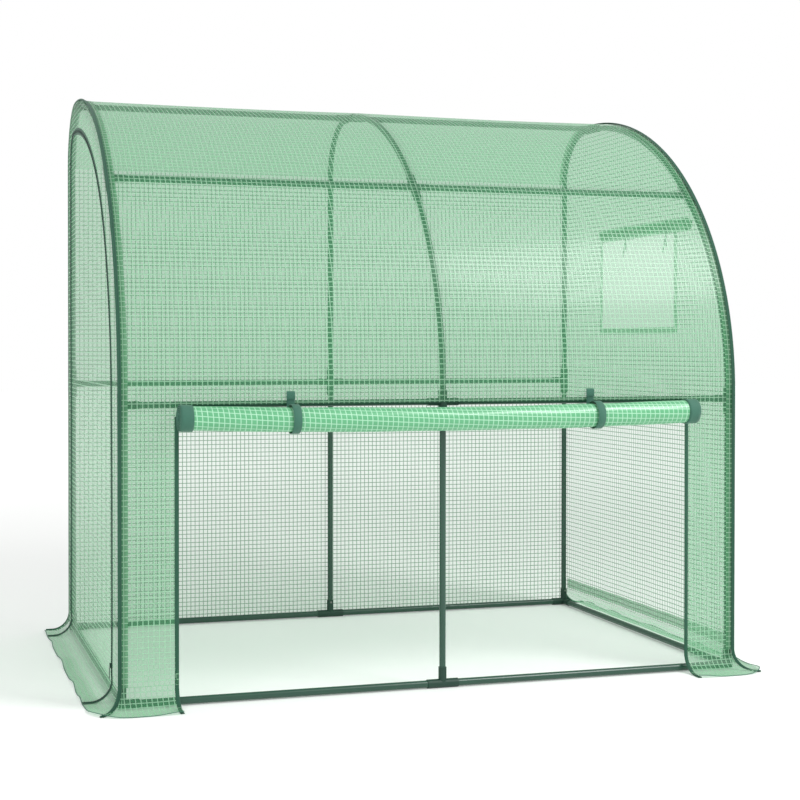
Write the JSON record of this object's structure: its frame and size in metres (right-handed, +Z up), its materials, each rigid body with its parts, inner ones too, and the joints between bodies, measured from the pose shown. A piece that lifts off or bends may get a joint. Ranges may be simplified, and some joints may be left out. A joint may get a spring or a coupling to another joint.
{
  "type": "lean-to plastic greenhouse",
  "caption": "Lean-to tunnel greenhouse: bent tube hoops and rails under a scrim-reinforced green cover, with a rolled-up front door, a zipped end door and a netted end window.",
  "frame": {"origin": "middle of the whole footprint, skirt included, on the ground", "axes": "+X along the wall towards the window end, +Y towards the wall, +Z up"},
  "size_m": [2.4546, 1.4618, 2.1426],
  "materials": {
    "tube": "satin powder coat, dark green",
    "joint": "moulded dark green plastic",
    "cover": "translucent green sheet with a woven scrim grid",
    "rolled_sheet": "the same sheet, rolled up and opaque",
    "net": "pale insect net",
    "tape": "dark green binding",
    "tie": "woven strap",
    "zip": "dark green zip"
  },
  "bodies": {
    "root": {"left_front_leg": "tube", "middle_front_leg": "tube", "right_front_leg": "tube", "left_rear_leg": "tube", "middle_rear_leg": "tube", "right_rear_leg": "tube", "left_arch": "tube", "middle_arch": "tube", "right_arch": "tube", "front_rail_left": "tube", "front_rail_right": "tube", "rear_rail_left": "tube", "rear_rail_right": "tube", "left_side_rail": "tube", "right_side_rail": "tube", "door_header": "tube", "upper_purlin": "tube", "ridge_purlin": "tube", "rear_purlin": "tube", "left_corner_joints": "joint", "right_corner_joints": "joint", "front_middle_joint": "joint", "rear_middle_joint": "joint", "left_arch_joints": "joint", "middle_arch_joints": "joint", "right_arch_joints": "joint", "roof_cover": "cover", "rear_cover": "cover", "front_left_flap": "cover", "front_right_flap": "cover", "left_end_surround": "cover", "left_zip_door": "cover", "door_zip": "zip", "right_end_panel": "cover", "window_net": "net", "window_roll": "rolled_sheet", "rolled_door": "rolled_sheet", "door_roll_edges": "tape", "door_ties": "tie", "doorway_tapes": "tape", "left_skirt": "cover", "right_skirt": "cover", "front_left_skirt": "cover", "front_right_skirt": "cover", "edge_piping": "tape"}
  },
  "joints": []
}
